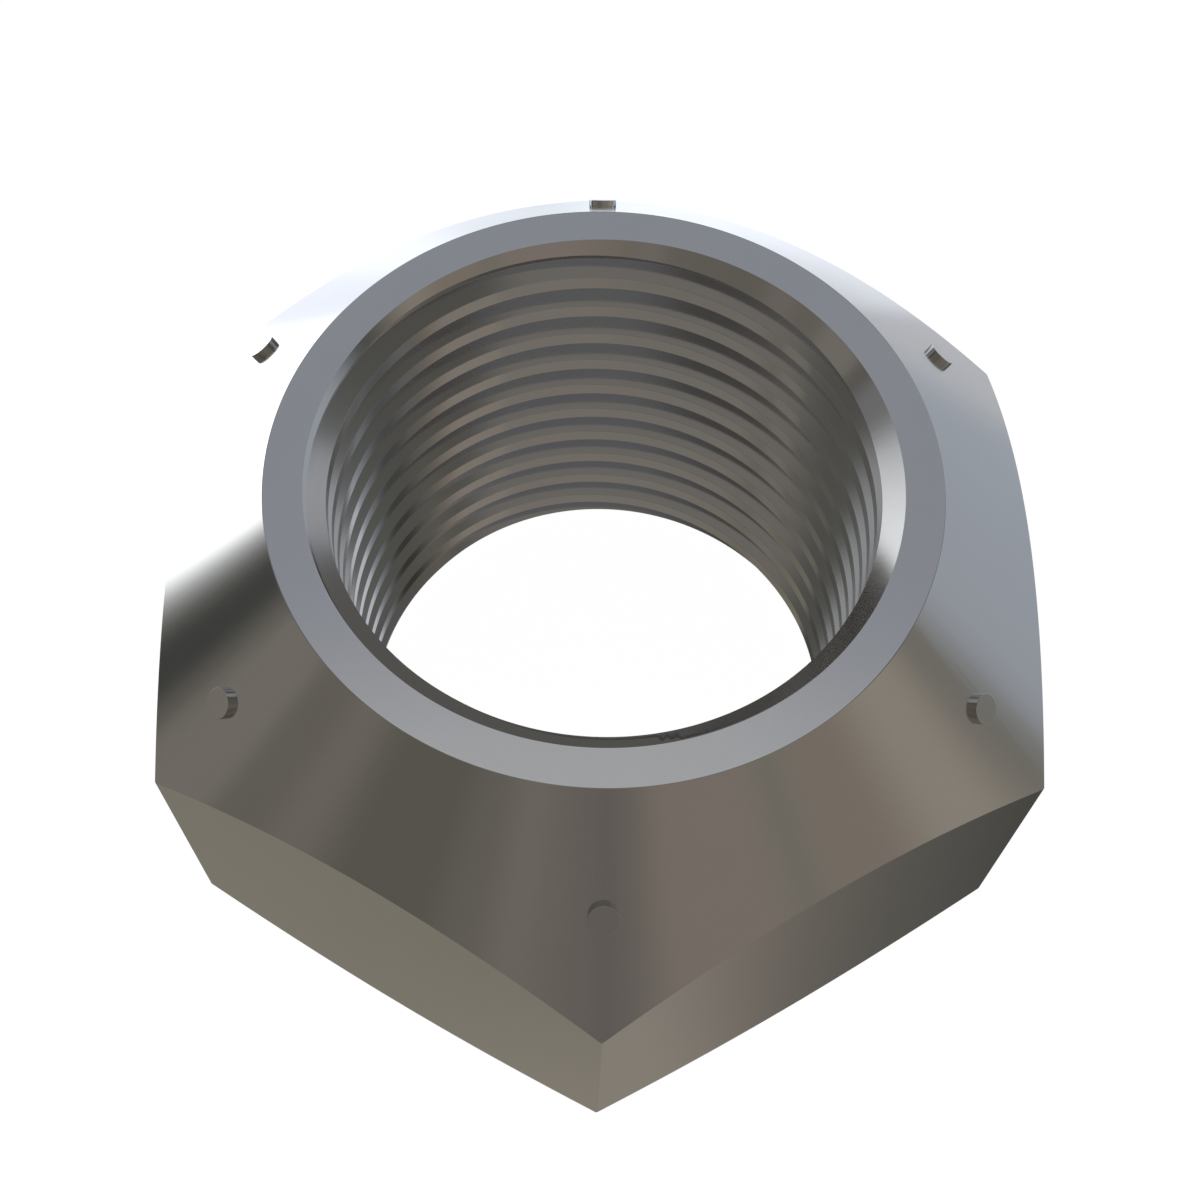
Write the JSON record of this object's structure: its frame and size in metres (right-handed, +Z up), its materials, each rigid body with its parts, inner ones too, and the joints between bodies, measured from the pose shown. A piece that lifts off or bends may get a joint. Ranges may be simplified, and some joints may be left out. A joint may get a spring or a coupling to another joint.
{
  "type": "hex lock nut",
  "caption": "Hexagon lock nut with a conical top, raised grade dots on the cone and a threaded through hole, for bolts that must not shake loose.",
  "frame": {"origin": "centre of the hole in the plane of the bearing face", "axes": "+Z up the hole to the conical top, -Y towards one corner of the hexagon, +X square to two flats"},
  "size_m": [0.0334, 0.0384, 0.0197],
  "materials": {
    "steel": "smooth turned and polished steel, nearly mirror bright"
  },
  "bodies": {
    "root": {"lock_nut": "steel"}
  },
  "joints": []
}
